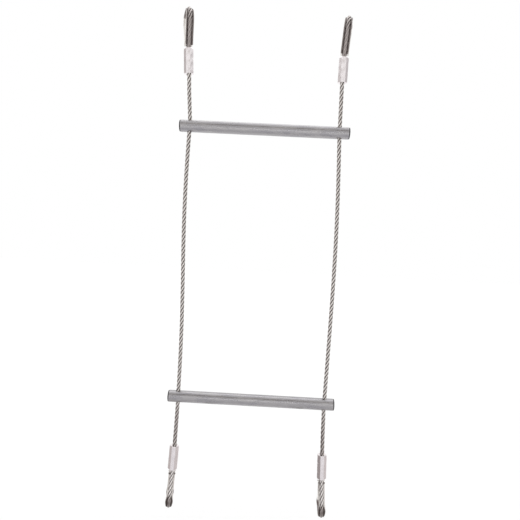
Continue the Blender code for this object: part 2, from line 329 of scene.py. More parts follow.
def leanAxis(out, up, angle):
    # straight up or down, leaning outwards by the angle
    return np.array((out * math.sin(angle), 0.0, up * math.cos(angle)))


def cornerFrame(name):
    # where one rope end leaves its rung, and the directions of its tail, ferrule and eye
    level, side = name.split("_")
    out, up = sideSign[side], levelSign[level]
    extra, *degrees = cornerSet[name]
    tail, ferrule, eye, turn = np.radians(degrees)
    corner = {
        "name": name,
        "level": level,
        "up": up,
        "turn": turn,
        "hole": np.array((out * ropeRoute["spacing"] / 2, 0.0, rungHeight[level])),
        "tailEnd": ropeRoute["rungRadius"] + ropeRoute["tail"] + extra,
        "tailSlope": out * math.tan(tail),
        "flat": np.array((-math.sin(turn), math.cos(turn), 0.0)),
        "ferruleAxis": leanAxis(out, up, ferrule),
        "eyeAxis": leanAxis(out, up, eye),
    }
    corner["ferruleStart"] = tailPoint(corner, corner["tailEnd"])
    corner["eyeStart"] = corner["ferruleStart"] + corner["ferruleAxis"] * eyeForm["ferruleLength"]
    return corner


def tailPoint(corner, distance, shift=0.0):
    # the hole, plus the distance up or down, plus the slope times the distance past the
    # rung's wall outwards, plus shift along the eye's width
    distance = np.asarray(distance, float)[..., None]
    shift = np.asarray(shift, float)[..., None]
    outwards, upwards = np.eye(3)[[0, 2]]
    lean = corner["tailSlope"] * (distance - ropeRoute["rungRadius"]) * outwards
    return corner["hole"] + lean + corner["up"] * distance * upwards + corner["flat"] * shift


def widthAxis(corner, axis):
    # the eye's width direction made square to axis
    return unitRows(corner["flat"] - axis * (corner["flat"] @ axis))


def inPlane(corner, part, width, along):
    # the start of the ferrule or the eye, plus width across its axis and along along it
    start, axis = corner[f"{part}Start"], corner[f"{part}Axis"]
    across = widthAxis(corner, axis)
    return start + np.multiply.outer(width, across) + np.multiply.outer(along, axis)


def eyeLeg(count=81):
    # the leg's centreline (half width, height): a cubic curve that starts along the ferrule
    # and ends along the arch
    flare = math.radians(eyeForm["flareDeg"])
    start = np.array((ropeRoute["legOffset"], 0.0))
    end = np.array((archRadius * math.cos(flare), archHeight - archRadius * math.sin(flare)))
    first = start + np.array((0.0, eyeForm["legPull"]))
    second = end - eyeForm["legPull"] * np.array((math.sin(flare), math.cos(flare)))
    t = np.linspace(0, 1, count)[:, None]
    rest = 1 - t
    return rest**3 * start + 3 * rest**2 * t * first + 3 * rest * t**2 * second + t**3 * end


def eyeArch(count=97):
    # the arch's centreline (half width, height) and its outward normals: a circle's arc from
    # the flare below its centre on one side, over the crown, to the same on the other
    flare = math.radians(eyeForm["flareDeg"])
    turns = np.linspace(-flare, math.pi + flare, count)
    normals = np.column_stack([np.cos(turns), np.sin(turns)])
    return np.array((0.0, archHeight)) + archRadius * normals, normals


def terminalRoute(corner):
    # from the rung's axis out: the tail, the live leg through the ferrule, the eye, and the
    # dead leg back into the ferrule
    offset = ropeRoute["legOffset"]
    straight = np.arange(0, ropeRoute["driftFrom"], ropeRoute["tailStep"])
    eased = np.linspace(ropeRoute["driftFrom"], corner["tailEnd"], ropeRoute["driftPoints"])
    drift = offset * easeIn(eased, eased[0], eased[-1] - eased[0])
    length, count = eyeForm["ferruleLength"], ropeRoute["ferrulePoints"]
    inside = np.linspace(0, length, count)
    back = np.linspace(length, ropeRoute["deadEndRecess"], count)
    leg = eyeLeg()
    arch, _ = eyeArch()
    return np.vstack([
        tailPoint(corner, straight),
        tailPoint(corner, eased, -drift),
        inPlane(corner, "ferrule", -offset, inside),
        inPlane(corner, "eye", -leg[:, 0], leg[:, 1]),
        inPlane(corner, "eye", -arch[:, 0], arch[:, 1]),
        inPlane(corner, "eye", leg[::-1, 0], leg[::-1, 1]),
        inPlane(corner, "ferrule", offset, back),
    ])


def shadeShare(points, corner):
    # the sum of the eye's painted shade steps at each point's distance past the ferrule
    along = (points - corner["eyeStart"]) @ corner["eyeAxis"]
    steps = eyeForm["stainSteps"][corner["level"]]
    return sum(rise * easeIn(along, start, fade) for start, fade, rise in steps)


def setAttribute(piece, name, values):
    # one number for each point, which the materials read by its name
    layer = piece.data.attributes.new(name, "FLOAT", "POINT")
    layer.data.foreach_set("value", np.asarray(values, np.float32).ravel())


def bayPoint(side, height):
    # a bay rope bows outwards by a half wave and a full wave between the rungs
    height = np.asarray(height, float)
    halfWave, fullWave = ropeRoute["bow"][side]
    span = rungHeight["top"] - rungHeight["bottom"]
    turn = math.pi * (rungHeight["top"] - height) / span
    bow = halfWave * np.sin(turn) + fullWave * np.sin(2 * turn)
    x = sideSign[side] * (ropeRoute["spacing"] / 2 + bow)
    return np.stack([x, np.zeros_like(x), height], axis=-1)


def evenly(points, step):
    # the same line with points every step along it, and how far along each is
    lengths = np.linalg.norm(np.diff(points, axis=0), axis=1)
    apart = lengths > 1e-7  # where two runs of the route meet, their ends are the same point
    points = points[np.append(True, apart)]
    along = np.append(0, np.cumsum(lengths[apart]))
    at = np.linspace(0, along[-1], round(along[-1] / step) + 1)
    return np.column_stack([np.interp(at, along, points[:, k]) for k in range(3)]), at


def softened(points, width=9):
    # each point replaced by a weighted mean of its neighbours, so that bends have no corners
    weights = np.hanning(width + 2)[1:-1]
    weights /= weights.sum()
    half = width // 2
    lead = 2 * points[0] - points[half:0:-1]
    tail = 2 * points[-1] - points[-2:-half - 2:-1]
    padded = np.vstack([lead, points, tail])
    return np.column_stack([np.convolve(padded[:, k], weights, "valid") for k in range(3)])


def strandOutline():
    # one strand's share of the rope's section, as radius and angle from valley to valley: a
    # circle that touches the rope's outside and both neighbours, so that its radius is the
    # rope's times s / (1 + s), with s the sine of half the angle between strands
    crown = rope["overStrands"] / 2
    sine = math.sin(math.pi / rope["strands"])
    strandRadius = crown * sine / (1 + sine)
    centre = crown - strandRadius
    turn = np.linspace(-strandReach, strandReach, rope["pointsPerStrand"] + 1)[:-1]
    x = centre + strandRadius * np.cos(turn)
    y = strandRadius * np.sin(turn)
    return crown - rope["pressedDepth"] * (crown - np.hypot(x, y)), np.arctan2(y, x)


def openShare(stain):
    # how much of the valleys' depth the old grease leaves open
    return 1 - easeIn(stain, *rope["greaseFill"])


def ropeRings(side):
    # the whole rope of one side: its section turned right-handed with the lay and carried
    # along the route. Returns the rings' points, and each ring's centre, distance and painted
    # shade
    top, bottom = (cornerFrame(f"{level}_{side}") for level in ("top", "bottom"))
    heights = np.linspace(rungHeight["top"], rungHeight["bottom"], ropeRoute["bayPoints"])[1:-1]
    route = np.vstack([terminalRoute(top)[::-1], bayPoint(side, heights), terminalRoute(bottom)])
    fine, _ = evenly(route, rope["routeStep"])
    centres, along = evenly(softened(fine), rope["ringStep"])
    tangents = unitRows(np.gradient(centres, axis=0))
    above = easeIn(centres[:, 2] - rungHeight["top"], 0, ropeRoute["tail"])
    below = easeIn(rungHeight["bottom"] - centres[:, 2], 0, ropeRoute["tail"])
    turn = top["turn"] * above + bottom["turn"] * below
    level = np.column_stack([np.cos(turn), np.sin(turn), np.zeros_like(turn)])
    second = unitRows(level - tangents * np.sum(level * tangents, axis=1, keepdims=True))
    first = np.cross(second, tangents)
    radius, angle = strandOutline()
    radius = np.tile(radius, rope["strands"])
    spacing = 2 * math.pi / rope["strands"]
    angle = (angle + spacing * np.arange(rope["strands"])[:, None]).ravel()
    lay = 2 * math.pi * along / rope["layLength"]
    turned = (angle + lay[:, None])[..., None]
    spoke = np.cos(turned) * first[:, None] + np.sin(turned) * second[:, None]
    # painted shade and painted light along both eyes; where the shade is dark, grease fills the
    # valleys
    stain = shadeShare(centres, top) + shadeShare(centres, bottom)
    outside = rope["overStrands"] / 2
    radius = outside - (outside - radius) * openShare(stain)[:, None]
    return centres[:, None] + radius[..., None] * spoke, centres, along, stain


def makeRopePiece(name, rings, along, stain):
    # a stretch of the rope's rings, closed at both ends by a fan to the ring's middle
    rows, columns = rings.shape[:2]
    points = np.vstack([rings.reshape(-1, 3), rings[0].mean(0), rings[-1].mean(0)])
    faces = [gridQuads(rows, columns)[:, ::-1], endFans(rows, columns)[:, ::-1]]
    # the map of each quad's corners: across, the turn round the strand as a share of a full
    # one; along, the distance in turns of the strand's wires
    cell = strandReach / math.pi / rope["pointsPerStrand"]
    u = (np.arange(columns) % rope["pointsPerStrand"])[:, None] + np.array((0, 1, 1, 0))
    v = np.stack([along[1:], along[1:], along[:-1], along[:-1]], axis=-1)[:, None]
    cornerUv = np.stack(np.broadcast_arrays(u * cell, v / rope["wireLay"]), axis=-1).reshape(-1, 2)
    piece = makePiece(name, points, faces, materials["wire"], rope["sharpDeg"], cornerUv)
    radius, _ = strandOutline()
    depth = (radius.max() - radius) / (radius.max() - radius.min())
    depth = openShare(stain)[:, None] * np.tile(depth, rope["strands"])
    cutFaces = (0.6, 0.6)  # half deep, and never seen
    setAttribute(piece, "valley", np.append(depth, cutFaces))
    # the eyes' painted shade and painted light, which the rope's material reads
    setAttribute(piece, "stain", np.append(np.repeat(stain, columns), stain[[0, -1]]))
    return piece


# Materials
def galvanisedWire(tree):
    # Drawn steel wire, hot galvanised and laid into strands: soft grey crowns with a faint
    # warm cast, each wire a fine line along the rope, and dark lay grease down in the valleys.
    # The crowns carry the eyes' painted shade and painted light, and the painted light also
    # makes the valleys less dark
    valley = addNode(tree, "Attribute", {}, {"attribute_name": "valley"}, "Fac")
    stain = addNode(tree, "Attribute", {}, {"attribute_name": "stain"}, "Fac")
    deep = addNode(tree, "MapRange", spread(valley, 0, 1, 0.08, 0.55))
    # painted light: where the eyes are painted light, the valleys are less dark
    paintedLightScale = addNode(tree, "MapRange", spread(stain, 0.75, 1, -1, 0))
    grime = addNode(tree, "Math", {0: deep, 1: paintedLightScale}, {"operation": "MULTIPLY"})
    spangle = tinted(tree, lumps(tree, 2.2), "#d2ccc8", "#e3deda")
    # painted light and painted shade on the crowns: near white at -1, grey at 1, dark at 2
    unshaded = tinted(tree, stain, "#faf6f4", spangle, -1, 0)
    shaded = tinted(tree, stain, unshaded, "#beb6b3", 0, 0.9)
    crown = tinted(tree, stain, shaded, "#7c7472", 1, 2)
    # one line for each wire round the strand: the wave turns by ten times its scale
    lay = addNode(tree, "UVMap", {}, {"uv_map": "lay"})
    bands = {"Vector": lay, "Scale": 2 * math.pi * rope["outerWires"] / 10}
    wires = addNode(tree, "TexWave", bands, {"bands_direction": "DIAGONAL"}, "Fac")
    relief = {"Height": wires, "Strength": 0.3, "Distance": 0.00006}
    return tinted(tree, grime, crown, "#504947", 0, 1), spread(grime, 0.22, 0.6, 0, 1), relief


def drawnAluminium(tree):
    # Cold drawn aluminium tube, mill finish: mid grey, with long faint die lines along the
    # tube and a cloudy handling sheen that breaks the highlight up
    cloud = lumps(tree, 4.0, (4, 1, 1), 4.0, 0.6)
    dieLines = lumps(tree, 0.5, (60, 1, 1), 2.0)
    dents = lumps(tree, 2.6, (6, 1, 1), 2.0)
    fine = addNode(tree, "Bump", {"Height": dieLines, "Strength": 0.35, "Distance": 0.00004})
    relief = {"Height": dents, "Strength": 0.5, "Distance": 0.00022, "Normal": fine}
    return tinted(tree, cloud, "#a19fa3", "#b0aeaf"), spread(cloud, 0.22, 0.38), relief


def pressedAluminium(tree):
    # Soft aluminium sleeve squeezed in polished dies: pale and bright with a pinkish cast,
    # and light scuffs along it where the dies slid
    cloud = lumps(tree, 4.0, (1, 1, 2), 3.0, 0.6)
    scuffs = lumps(tree, 0.6, (1, 1, 14))
    relief = {"Height": scuffs, "Strength": 0.2, "Distance": 0.00006}
    return tinted(tree, cloud, "#ede7e8", "#f7f2f3"), spread(scuffs, 0.19, 0.33), relief


def zincPlatedSteel(tree):
    # Pressed mild steel strip, zinc plated: pale and fairly bright, with painted shade in warm
    # grey and dark warm grey where the eyes' painted shade lies, with a cloudy edge between
    cloud = lumps(tree, 3.0, (1, 1, 1.5), 4.0, 0.6)
    stain = addNode(tree, "Attribute", {}, {"attribute_name": "stain"}, "Fac")
    cloudy = addNode(tree, "MapRange", spread(cloud, -0.25, 0.25))
    ragged = addNode(tree, "Math", {0: stain, 1: cloudy}, {"operation": "ADD"})
    unshaded = tinted(tree, cloud, "#e6e2de", "#f3f0ec")
    # painted shade: warm grey, and dark warm grey where it is deepest
    shadeTone = tinted(tree, cloud, "#8a8280", "#aaa2a0")
    dark = tinted(tree, cloud, "#665c5a", "#887d79")
    shaded = tinted(tree, ragged, unshaded, shadeTone, 0.25, 0.75)
    relief = {"Height": lumps(tree, 0.5), "Strength": 0.3, "Distance": 0.00006}
    colour = tinted(tree, ragged, shaded, dark, 1.1, 1.9)
    return colour, spread(ragged, 0.26, 0.44, 0.25, 0.75), relief


def mouldedNylon(tree):
    # Injection moulded black nylon: near black with a fine spark-eroded grain, dull sheen
    grain = lumps(tree, 0.35, detail=2.0)
    relief = {"Height": grain, "Strength": 0.4, "Distance": 0.00005}
    return tinted(tree, lumps(tree, 3.0), "#2d2a2a", "#3b3736"), spread(grain, 0.48, 0.62), relief


def turnedSteel(tree):
    # Plain turned mild steel slug: mid grey with fine rings from the tool, lightly oiled
    rings = lumps(tree, 0.3, (1, 8, 8), 2.0)
    return tinted(tree, rings, "#85817e", "#9d9996"), spread(rings, 0.34, 0.48)


materials = {
    "wire": dressed("galvanised_steel_rope", 1.0, galvanisedWire),
    "rung": dressed("mill_finish_aluminium", 1.0, drawnAluminium),
    "ferrule": dressed("pressed_soft_aluminium", 1.0, pressedAluminium),
    "thimble": dressed("zinc_plated_steel", 1.0, zincPlatedSteel),
    "plug": dressed("moulded_black_nylon", 0.0, mouldedNylon),
    "wedge": dressed("turned_mild_steel", 1.0, turnedSteel),
}
print("materials made:", len(materials))


# The ropes. Each is laid whole and then cut where it bends at a hinge, in the middle of the
# stretches that stay straight, so that every cut's two sides match
ropeCuts = {
    "tailCut": 0.025,  # from the rung's axis
    "rungBend": (0.0065, 0.024),  # the bend at a rung's mouth, from the rung's axis
    "swayBend": (0.026, 0.044),
    "bightReach": 0.0086,  # to each side of a fold's hinge
    "bightEnd": 0.018,  # past the outer hinges
}


def dressRope(piece, bodies, start, end, nodes):
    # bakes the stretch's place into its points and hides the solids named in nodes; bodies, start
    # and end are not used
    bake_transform(piece)
    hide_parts(*nodes)


def makeRope(side):
    # the whole rope of one side, cut in its tails, at the rungs' axes and between the folds
    rings, centres, along, stain = ropeRings(side)
    corners = {level: cornerFrame(f"{level}_{side}") for level in levelSign}
    folds = sorted(
        (joint for joint in frame["joints"] if joint["name"].startswith("bay_fold")),
        key=lambda joint: -joint["pos_m"][2],
    )
    foldHeights = [joint["pos_m"][2] for joint in folds]

    def ringAt(point):
        # the ring whose middle is nearest to the point
        return int(np.argmin(np.linalg.norm(centres - point, axis=1)))

    def stretch(name, first, last):
        # the piece from one ring to another, with both
        part = slice(first, last + 1)
        return makeRopePiece(name, rings[part], along[part], stain[part])

    cuts = {level: ringAt(corner["hole"]) for level, corner in corners.items()}
    ends = {"top": 0, "bottom": len(rings) - 1}
    for level, corner in corners.items():
        name, rung = corner["name"], rungOf[level]
        tailCut = ringAt(tailPoint(corner, ropeCuts["tailCut"]))
        eye = stretch(f"{name}_eye_rope", *sorted((ends[level], tailCut)))
        reach = tailPoint(corner, ropeCuts["swayBend"])
        dressRope(eye, (f"{name}_tail", f"{name}_eye"), *reach, [f"{name}_eye_wire"])
        tail = stretch(f"{name}_tail_rope", *sorted((tailCut, cuts[level])))
        reach = tailPoint(corner, ropeCuts["rungBend"])
        nodes = [f"{name}_tail_wire", f"{rung}_{side}_rung_wire"]
        dressRope(tail, (f"{rung}_rung", f"{name}_tail"), *reach, nodes)

    past = ropeCuts["bightEnd"]
    between = [(a + b) / 2 for a, b in zip(foldHeights, foldHeights[1:])]
    bightHeights = [foldHeights[0] + past, *between, foldHeights[-1] - past]
    bightCuts = [ringAt(point) for point in bayPoint(side, bightHeights)]
    near, far = ropeCuts["rungBend"]
    upper = stretch(f"{side}_bay_upper_rope", cuts["top"], bightCuts[0])
    reach = bayPoint(side, [rungHeight["top"] - near, rungHeight["top"] - far])
    dressRope(upper, ("upper_rung", "bay_upper"), *reach, [f"{side}_bay_upper_wire"])
    bend = ropeCuts["bightReach"]
    for k, joint in enumerate(folds):
        bight = stretch(f"{side}_bay_bight_rope_{k + 1}", bightCuts[k], bightCuts[k + 1])
        reach = bayPoint(side, [foldHeights[k] + bend, foldHeights[k] - bend])
        nodes = [f"{side}_{joint['child']}_wire"] if k < len(folds) - 1 else []
        dressRope(bight, (joint["parent"], joint["child"]), *reach, nodes)
    lower = stretch(f"{side}_bay_lower_rope", bightCuts[-1], cuts["bottom"])
    reach = bayPoint(side, [rungHeight["bottom"] + far, rungHeight["bottom"] + near])
    dressRope(lower, ("bay_lower", "lower_rung"), *reach, [f"{side}_bay_lower_wire"])
    print(f"{side} rope: {along[-1]:.3f} m, {len(rings)} rings")


for side in sideSign:
    makeRope(side)


# The ferrules
ferruleForm = {
    "diameter": 0.010,
    "edgeRound": 0.0012,  # front and back
    "sideRound": 0.1,  # the share of it that is left where the slot comes near
    "slotRadius": 0.00216,  # the sleeve is squeezed hard onto the rope
    "slotRound": 0.0001,
    "faces": 8,  # pressed by the dies
    "faceDistance": 0.00462,
    "faceWander": 0.00005,
    "wanderLength": 0.0083,
    "wanderShift": 1.7,  # radians from each face to the next
    "pointsRound": 96,
    "pointsAlong": 26,  # between the rounded edges
}


def makeFerrule(corner):
    # a round sleeve pressed into flat faces, with a long slot through it. The grid's rows go
    # up the outside, round the edge, down the slot and round to the start
    count = ferruleForm["pointsRound"]
    angle = 2 * math.pi * (np.arange(count) + 0.5) / count
    edge = ferruleForm["edgeRound"]
    length = eyeForm["ferruleLength"]
    quarter = np.radians(np.linspace(0, 90, 6))
    straight = np.linspace(edge, length - edge, ferruleForm["pointsAlong"])[1:-1]
    flare = ferruleForm["slotRound"] * np.linspace(1, 0, 6)**2
    rise, turnIn = edge * (1 - np.cos(quarter)), edge * (1 - np.sin(quarter))
    outside = np.concatenate([rise, straight, length - rise[::-1]])
    along = np.concatenate([outside, length - flare[::-1], flare])
    inset = np.concatenate([turnIn, np.zeros(len(straight)), turnIn[::-1]])
    circle = np.column_stack([np.cos(angle), np.sin(angle)])
    offset = np.sign(circle) * np.array((ropeRoute["legOffset"], 0.0))
    # each pressed face cuts the round off at its distance over the cosine of the turn from
    # the face's middle, and wanders a little along the sleeve. One face points to the front
    step = 2 * math.pi / ferruleForm["faces"]
    facing = (angle - corner["up"] * corner["turn"] + step / 2) % step - step / 2
    turned = 2 * math.pi * outside[:, None] / ferruleForm["wanderLength"]
    wave = np.sin(turned + ferruleForm["wanderShift"] * np.round(angle / step))
    distance = ferruleForm["faceDistance"] + ferruleForm["faceWander"] * wave
    shape = np.minimum(ferruleForm["diameter"] / 2, distance / np.cos(facing))
    least = ferruleForm["sideRound"]
    shape = shape - inset[:, None] * (least + (1 - least) * np.sin(angle)**2)
    outer = shape[..., None] * circle
    mouths = ferruleForm["slotRadius"] + np.concatenate([flare, flare[::-1]])
    inner = mouths[:, None, None] * circle + offset
    section = np.concatenate([outer, inner])
    axis = corner["ferruleAxis"]
    side = np.cross(widthAxis(corner, axis), axis)
    points = inPlane(corner, "ferrule", section[..., 0], along[:, None]) + section[..., 1:] * side
    faces = gridQuads(len(section), count, closeRows=True)
    piece = makePiece(f"{corner['name']}_pressed_ferrule", points, [faces], materials["ferrule"])
    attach(piece, f"{corner['name']}_eye")
    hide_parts(f"{corner['name']}_ferrule")


# The thimbles
thimbleForm = {
    "wall": 0.0009,
    "width": {"top": 0.0079, "bottom": 0.0076},
    "grooveRadius": 0.0023,
    "flange": 0.0008,  # how far the flanges run on past the rope's centre
    "earGap": 0.003,  # from the ferrule to the flanges' ends
    "earRound": 0.0012,
    "legGap": 0.00015,
    "legRows": 40,
    "crownStart": (0.022, 0.008),  # where the legs start to widen, and over how far
    # of the lips' width, between the ears and the crown
    "legNarrowing": {"top": 0.0, "bottom": 0.38},
    # over the crown's last stretch the flanges lean in towards the rope, and the lower eyes'
    # are bent on over it
    "crownRound": {"top": 0.0055, "bottom": 0.008},
    "crownCurve": 1.5,  # the power with which it comes in
    "crownDrop": {"top": 0.00035, "bottom": -0.0007},
    "crownNarrowing": {"top": 0.21, "bottom": 0.45},
    # the painted shade of the ears' insides and of the crown's outer faces: its edge, and its fade
    "earStain": (0.0035, 0.002),
    "crownStain": {"top": (0.031, 0.004), "bottom": (0.0245, 0.006)},
    "lipStain": (0.5, 0.2),  # how the groove's painted shade ends over a lip's outer side
}


def thimbleSection(lips):
    # the channel's section as (depth towards the opening, width) for its inner and its outer
    # side, from one rounded lip round the groove to the other, and each point's depth share
    wall = thimbleForm["wall"]
    groove = thimbleForm["grooveRadius"]
    back = groove + wall
    lipWidth = lips / 2 - wall / 2
    lipDepth = wall / 2 - thimbleForm["flange"]
    turns = np.radians(np.linspace(90, 0, 9))
    quarter = np.radians(np.linspace(90, 0, 5))
    share = np.linspace(0, 1, 5)[1:-1]
    halves = []
    for radius, reach in ((groove, -1), (back, 1)):
        lip = np.column_stack([
            lipDepth - wall / 2 * np.sin(quarter),
            lipWidth + reach * wall / 2 * np.cos(quarter),
        ])
        start, end = lip[-1], np.array((0.0, radius))
        bend = np.array((lipDepth / 2, end[1]))
        run = share[:, None]
        flare = (1 - run)**2 * start + 2 * run * (1 - run) * bend + run**2 * end
        arc = radius * np.column_stack([np.cos(turns), np.sin(turns)])
        half = np.vstack([lip, flare, arc])
        halves.append(np.vstack([half, half[-2::-1] * np.array((1, -1))]))
    shares = [np.clip(half[:, 0], 0, None) / r for half, r in zip(halves, (groove, back))]
    return halves, shares


def makeThimble(corner):
    # the section carried up one leg, over the arch and down the other. Where the legs would
    # meet, the groove's floor starts later than the flanges, which end as rounded ears
    level = corner["level"]
    form = {
        key: value[level] if isinstance(value, dict) else value
        for key, value in thimbleForm.items()
    }
    (inner, outer), (innerShare, outerShare) = thimbleSection(form["width"])
    count = len(inner)
    section = np.vstack([inner, outer[-2:0:-1]])
    share = np.concatenate([innerShare, outerShare[-2:0:-1]])
    leg = eyeLeg()
    heights = leg[:, 1]
    normal = unitRows(np.gradient(leg, axis=0))[:, ::-1] * np.array((1, -1))
    back = form["grooveRadius"] + form["wall"]
    reach = back * share + form["legGap"]
    first = np.interp(reach, leg[:, 0], heights)
    lipShare = np.clip(-section[:, 0] / form["flange"], 0, 1)
    first = np.maximum(first, form["earGap"] + form["earRound"] * lipShare**3)
    run = np.linspace(0, 1, form["legRows"] + 1)[:-1, None]
    at = first + (heights[-1] - first) * run
    centres = np.stack([np.interp(at, heights, leg[:, 0]), at], axis=-1)
    normals = np.stack([np.interp(at, heights, normal[:, k]) for k in (0, 1)], axis=-1)
    overCrown = (np.repeat(rows[:, None], len(section), axis=1) for rows in eyeArch())
    mirror = np.array((-1, 1))
    centres, normals = (
        np.concatenate([legRows * mirror, archRows * mirror, legRows[::-1]])
        for legRows, archRows in zip((centres, normals), overCrown)
    )
    along = centres[..., 1]
    rise = easeIn(along, *form["crownStart"])
    pastEar = easeIn(along, *form["earStain"])
    waist = form["legNarrowing"] * pastEar * (1 - rise)
    rounding = np.clip((along - along.max()) / form["crownRound"] + 1, 0, 1)**form["crownCurve"]
    nearLips = np.clip(-section[:, 0] / (form["flange"] - form["wall"] / 2), 0, 1)
    depth = section[:, 0] + form["crownDrop"] * (1 - share) * rounding
    width = section[:, 1] * (1 - waist * lipShare - form["crownNarrowing"] * rounding * nearLips)
    flat = centres - normals * depth[..., None]
    side = np.cross(widthAxis(corner, corner["eyeAxis"]), corner["eyeAxis"])
    points = inPlane(corner, "eye", flat[..., 0], flat[..., 1]) + width[..., None] * side
    rows, columns = points.shape[:2]
    k = np.arange(1, count - 2)
    capQuads = np.column_stack([k, k + 1, columns - k - 1, columns - k])
    capEnds = np.array([[0, 1, columns - 1], [count - 2, count - 1, count]])
    last = (rows - 1) * columns
    faces = [
        np.vstack([gridQuads(rows, columns), capQuads[:, ::-1], capQuads + last]),
        np.vstack([capEnds[:, ::-1], capEnds + last]),
    ]
    piece = makePiece(f"{corner['name']}_rolled_thimble", points, faces, materials["thimble"])
    # painted shade lies in the groove and on the lips, and on the ears of every eye; the outer
    # faces are left without it up to the crown
    inGroove = np.concatenate([np.ones(count), np.zeros(len(section) - count)])
    inGroove[count:count + 2] = form["lipStain"]
    inGroove[-2:] = form["lipStain"][::-1]
    stain = shadeShare(points, corner)
    onCrown = easeIn(along, *form["crownStain"]) * stain
    inside = np.maximum(stain, 1 - pastEar) * inGroove
    setAttribute(piece, "stain", np.maximum(inside, onCrown))
    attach(piece, f"{corner['name']}_eye")
    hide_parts(f"{corner['name']}_thimble")


for corner in map(cornerFrame, cornerSet):
    makeFerrule(corner)
    makeThimble(corner)
print("ferrules and thimbles made")


# The rungs
rungForm = {
    "length": 0.168,
    "wall": 0.0015,
    "edgeRound": 0.0004,
    "holeRadius": 0.0023,
    "holeLip": 0.00025,
    "holeDepth": 0.0013,
    "lipShare": 0.1,  # how far the hole's edge sinks, of its depth
    "holeCell": 0.00015,  # the grid's spacing along the rung near a hole
    "holeReach": 0.003,  # how far that goes to each side of it
    "farCell": 0.002,  # the spacing elsewhere
    "turnSteps": (1.5, 5.0),  # degrees, round the rung near the holes and elsewhere
    "turnReach": 30,  # degrees to each side of them
    "capSine": 0.7,  # of the turn: above and below it the wall can have holes
    "snapReach": 0.6,  # of a cell: grid points that near to a hole's edge move onto it
    "rimClear": 0.2,  # of a cell: those on the edge don't sink to the floor of the hole
    "boreEdge": 0.4,  # of the round of the outer edge
    "wander": 0.00003,  # how far the drawn wall strays from round
    "wanderWaves": (260, 90),  # radians a metre
    "sharpDeg": 50,
}


def denseLine(start, end, spots, reach, fine, coarse):
    # values from start to end, fine apart within reach of each spot and coarse elsewhere
    edges = sorted({start, end, *(s - reach for s in spots), *(s + reach for s in spots)})
    runs = []
    for low, high in zip(edges, edges[1:]):
        middle = (low + high) / 2
        step = fine if any(abs(middle - spot) < reach for spot in spots) else coarse
        runs.append(np.linspace(low, high, max(2, round((high - low) / step) + 1))[:-1])
    return np.concatenate([*runs, [end]])


def rungSpokes(turns):
    # unit vectors across the rung at each turn: (0, cos, sin)
    return np.stack([np.zeros_like(turns), np.cos(turns), np.sin(turns)], axis=-1)


def makeRung(level):
    # a tube as one closed grid: along the outside, round the end, back along the bore and
    # round the other end. Each rope hole is a round sink whose edge grid points lie on
    half = rungForm["length"] / 2
    radius = ropeRoute["rungRadius"]
    edge = rungForm["edgeRound"]
    bore = radius - rungForm["wall"]
    holes = [sign * ropeRoute["spacing"] / 2 for sign in sideSign.values()]
    cell = rungForm["holeCell"]
    reach = rungForm["holeReach"]
    x = denseLine(-half + edge, half - edge, holes, reach, cell, rungForm["farCell"])
    turns = denseLine(-180, 180, (-90, 90), rungForm["turnReach"], *rungForm["turnSteps"])
    turns = np.radians(turns[:-1])
    xGrid, turnGrid = np.meshgrid(x, turns, indexing="ij")
    yGrid = radius * np.cos(turnGrid)
    onCap = np.abs(np.sin(turnGrid)) > rungForm["capSine"]
    rim, soft = rungForm["holeRadius"], rungForm["holeLip"]
    sink = np.zeros_like(xGrid)
    for hole in holes:
        away = np.hypot(xGrid - hole, yGrid)
        snap = onCap & (np.abs(away - rim) < cell * rungForm["snapReach"])
        pull = np.where(snap, rim / np.maximum(away, 1e-6), 1.0)
        xGrid = hole + (xGrid - hole) * pull
        yGrid = yGrid * pull
        away = np.hypot(xGrid - hole, yGrid)
        lip = rungForm["lipShare"] * easeIn(rim + soft - away, 0, soft)
        inside = away < rim - cell * rungForm["rimClear"]
        sink += np.where(onCap, np.where(inside, 1.0, lip), 0.0) * rungForm["holeDepth"]
    zGrid = np.sign(np.sin(turnGrid)) * np.sqrt(np.maximum(radius**2 - yGrid**2, 0))
    short, long = (xGrid * wave for wave in rungForm["wanderWaves"])
    stray = np.sin(short + 2 * turnGrid) * np.sin(long - turnGrid)
    shrink = (radius - sink - rungForm["wander"] * (1 - stray)) / radius
    outside = np.stack([xGrid, yGrid * shrink, zGrid * shrink], axis=-1)

    def ring(place, size):
        # a circle of that radius round the rung's axis
        return np.array((place, 0.0, 0.0)) + size * rungSpokes(turns)

    def roundEnd(sign):
        # the outer edge, the flat end face and the bore's edge of one end. The outside's own
        # last ring is at 0 degrees of the round
        quarter = np.radians(np.linspace(18, 90, 5))
        outerEdge = [
            ring(sign * (half - edge + edge * math.sin(t)), radius - edge + edge * math.cos(t))
            for t in quarter
        ]
        cut = edge * rungForm["boreEdge"]
        return [*outerEdge, ring(sign * half, bore + cut), ring(sign * (half - cut), bore)]

    rings = [*outside, *roundEnd(1), ring(0.0, bore), *roundEnd(-1)[::-1]]
    points = np.stack(rings) + np.array((0.0, 0.0, rungHeight[level]))
    faces = gridQuads(len(rings), len(turns), closeRows=True)[:, ::-1]
    name = f"{rungOf[level]}_rung"
    sharp = rungForm["sharpDeg"]
    piece = makePiece(f"{name}_drawn_tube", points, [faces], materials["rung"], sharp)
    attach(piece, name)
    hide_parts(f"{name}_tube")


plugForm = {
    "rimDiameter": 0.0114,
    "edge": 0.0004,
    "crown": 0.0009,
    "land": 0.005,  # across the flat in the middle
    "stem": 0.003,
    "gap": 0.0003,
    "rimRound": 0.00015,
    "kneeShare": 0.3,  # of that round, for its middle point
    "pointsRound": 64,
}


